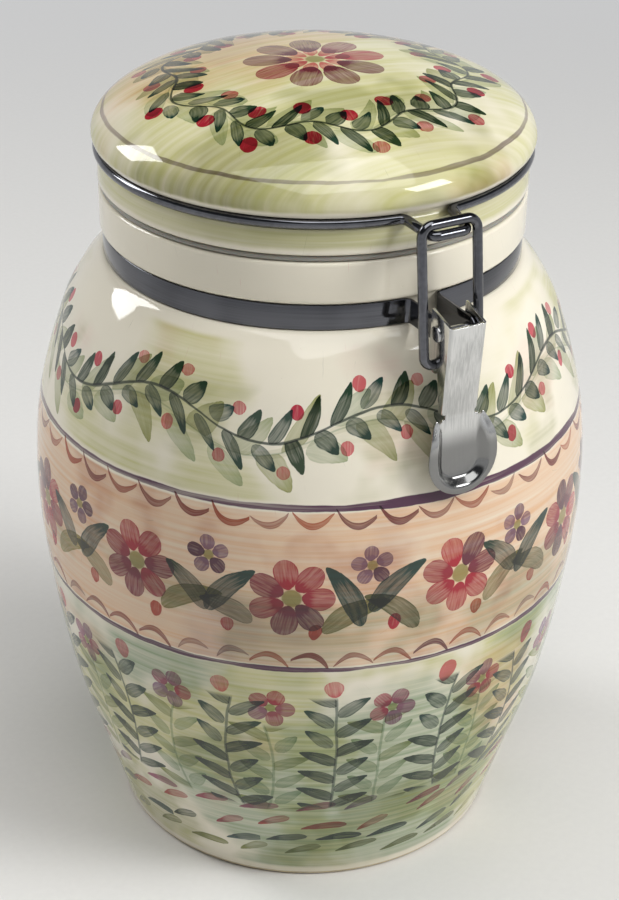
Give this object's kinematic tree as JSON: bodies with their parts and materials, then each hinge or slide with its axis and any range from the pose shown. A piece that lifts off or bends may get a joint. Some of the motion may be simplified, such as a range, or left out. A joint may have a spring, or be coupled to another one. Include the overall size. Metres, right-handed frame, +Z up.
{
  "type": "clamp-top kitchen canister",
  "caption": "Barrel-shaped glazed ceramic canister with a domed lid on a wire hinge and an over-centre wire clamp that presses a seal shut.",
  "frame": {"origin": "centre of the canister's base, on the surface it stands on", "axes": "+Z up along the canister's axis, -Y towards the latch, +Y towards the lid's hinge, +X to the right as seen from the latch"},
  "size_m": [0.1752, 0.177, 0.2552],
  "materials": {
    "jar_glaze": "glossy clear glaze over brushed underglaze colours on cream",
    "lid_glaze": "glossy clear glaze over brushed olive-lime washes on cream",
    "silicone": "soft translucent grey silicone",
    "polished_steel": "bright polished wire and strip",
    "satin_steel": "stamped steel, softly polished"
  },
  "bodies": {
    "jar": {"jar_body": "jar_glaze", "neck_band": "polished_steel", "hinge_bracket": "polished_steel", "bracket_rivet_left": "satin_steel", "bracket_rivet_right": "satin_steel", "lever_pin": "satin_steel"},
    "lid": {"lid": "lid_glaze", "lid_wire": "polished_steel", "lid_seal": "silicone"},
    "lever": {"latch_lever": "satin_steel"},
    "link": {"latch_link": "polished_steel"}
  },
  "joints": [
    {"name": "lid_hinge", "type": "hinge", "parent": "jar", "child": "lid", "pos_m": [0, 0.0722, 0.2012], "axis": [-1, 0, 0], "range_deg": [0, 105]},
    {"name": "lever_pivot", "type": "hinge", "parent": "jar", "child": "lever", "pos_m": [0, -0.08117, 0.2012], "axis": [-1, 0, 0], "range_deg": [0, 110]},
    {"name": "link_pivot", "type": "hinge", "parent": "lever", "child": "link", "pos_m": [0, -0.07997, 0.1913], "axis": [-1, 0, 0], "range_deg": [-154, 0]}
  ],
  "couplings": [
    {"joint": "link_pivot", "follows": "lever_pivot", "ratio": -1.4}
  ]
}
